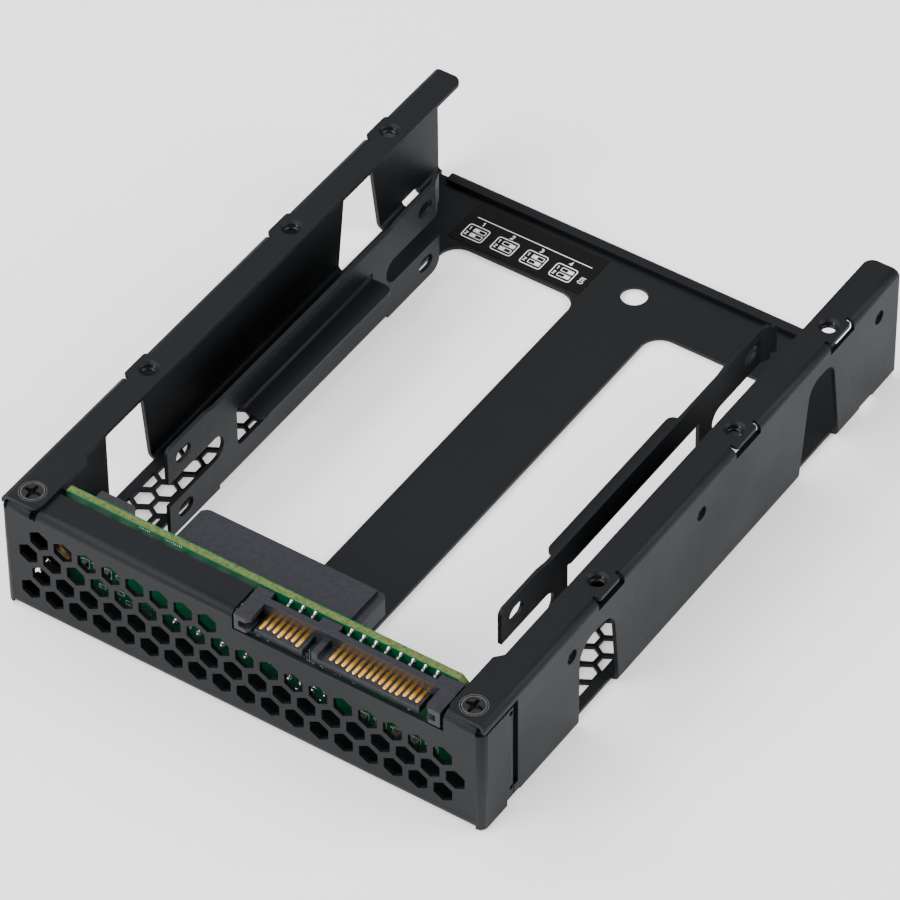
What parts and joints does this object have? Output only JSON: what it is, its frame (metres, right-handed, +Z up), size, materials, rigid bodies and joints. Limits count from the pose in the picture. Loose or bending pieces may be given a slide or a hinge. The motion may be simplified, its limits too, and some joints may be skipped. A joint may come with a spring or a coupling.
{
  "type": "drive bay adapter",
  "caption": "Folded black steel tray with honeycomb front that carries stacked 2.5 inch drives in the outline of a 3.5 inch drive, with an upright board and plug.",
  "frame": {"origin": "bottom centre of the bounding box, on the underside of the base sheet", "axes": "+X to the right seen from the front, -Y out of the honeycomb front panel, +Z up to the flanges"},
  "size_m": [0.1016, 0.136, 0.0261],
  "materials": {
    "frame_steel": "fine-grained black powder coat",
    "screw_steel": "black oxide",
    "screw_brass": "satin",
    "board": "green solder mask",
    "plug_plastic": "fine moulded grain",
    "contact_gold": "gold plated",
    "switch_plastic": "moulded",
    "slider_plastic": "moulded",
    "chip_black": "moulded epoxy",
    "inductor_grey": "pressed powder",
    "crystal_case": "plated",
    "capacitor_tan": "fired ceramic",
    "label": "satin film with white print"
  },
  "bodies": {
    "adapter": {"base_plate": "frame_steel", "left_side_wall": "frame_steel", "right_side_wall": "frame_steel", "left_drive_rail": "frame_steel", "right_drive_rail": "frame_steel", "front_panel": "frame_steel", "corner_screws": "screw_steel", "circuit_board": "board", "board_screws": "screw_brass", "host_plug": "plug_plastic", "host_signal_contacts": "contact_gold", "host_power_contacts": "contact_gold", "upper_drive_socket": "plug_plastic", "lower_drive_socket": "plug_plastic", "upper_socket_contacts": "contact_gold", "lower_socket_contacts": "contact_gold", "mode_switch_body": "switch_plastic", "controller_chip": "chip_black", "memory_chip": "chip_black", "clock_crystal": "crystal_case", "regulator_chip": "chip_black", "power_inductor": "inductor_grey", "resistors": "chip_black", "capacitors": "capacitor_tan", "settings_label": "label"},
    "slider_1": {"switch_slider_1": "slider_plastic"},
    "slider_2": {"switch_slider_2": "slider_plastic"}
  },
  "joints": [
    {"name": "switch_1_slide", "type": "slide", "parent": "adapter", "child": "slider_1", "axis": [1, 0, 0], "range_m": [-0.0024, 0]},
    {"name": "switch_2_slide", "type": "slide", "parent": "adapter", "child": "slider_2", "axis": [1, 0, 0], "range_m": [0, 0.0024]}
  ]
}
